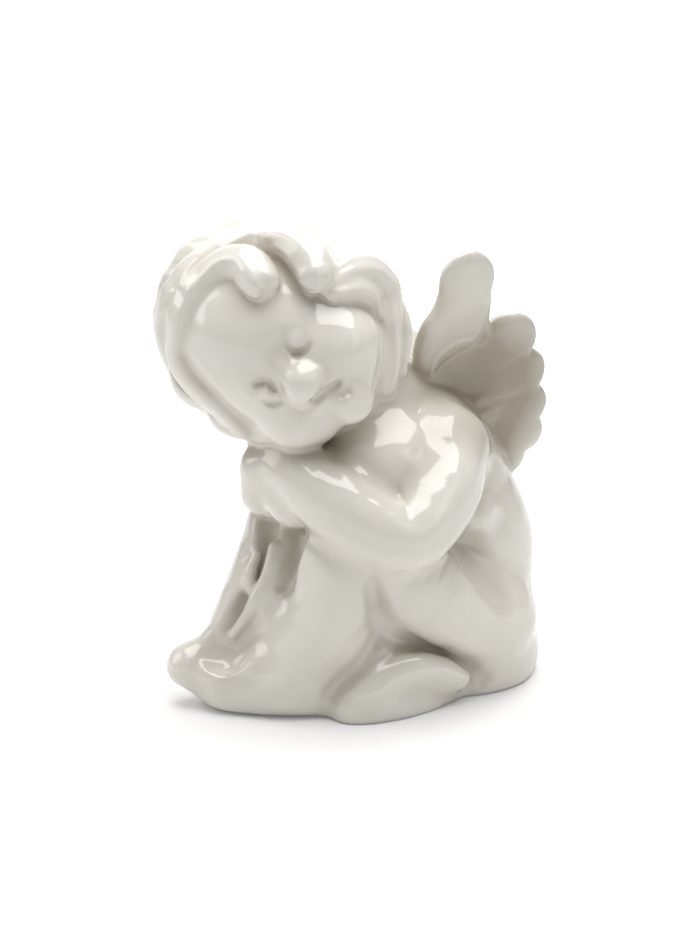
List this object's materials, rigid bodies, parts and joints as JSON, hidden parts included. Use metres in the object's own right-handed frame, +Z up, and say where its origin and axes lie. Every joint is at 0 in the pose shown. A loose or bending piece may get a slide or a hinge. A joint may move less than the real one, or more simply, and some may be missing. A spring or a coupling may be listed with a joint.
{
  "type": "cherub figurine",
  "caption": "Seated winged cherub ornament in white glazed porcelain, its knees drawn up, its arms folded over them and its head resting sideways on its hands.",
  "frame": {"origin": "on the level underside of the torso, between the hips and the feet, on the surface the figurine stands on", "axes": "+Z up, -Y the way the knees and feet point, +X the figure's own left"},
  "size_m": [0.0557, 0.0732, 0.091],
  "materials": {
    "white_glaze": "clear gloss glaze over white porcelain"
  },
  "bodies": {
    "root": {"torso": "white_glaze", "left_leg": "white_glaze", "right_leg": "white_glaze", "base_mound": "white_glaze", "left_arm": "white_glaze", "right_arm": "white_glaze", "head": "white_glaze", "forelock": "white_glaze", "brow_curl": "white_glaze", "temple_curl": "white_glaze", "nape_lock": "white_glaze", "left_wing": "white_glaze", "right_wing": "white_glaze"}
  },
  "joints": []
}
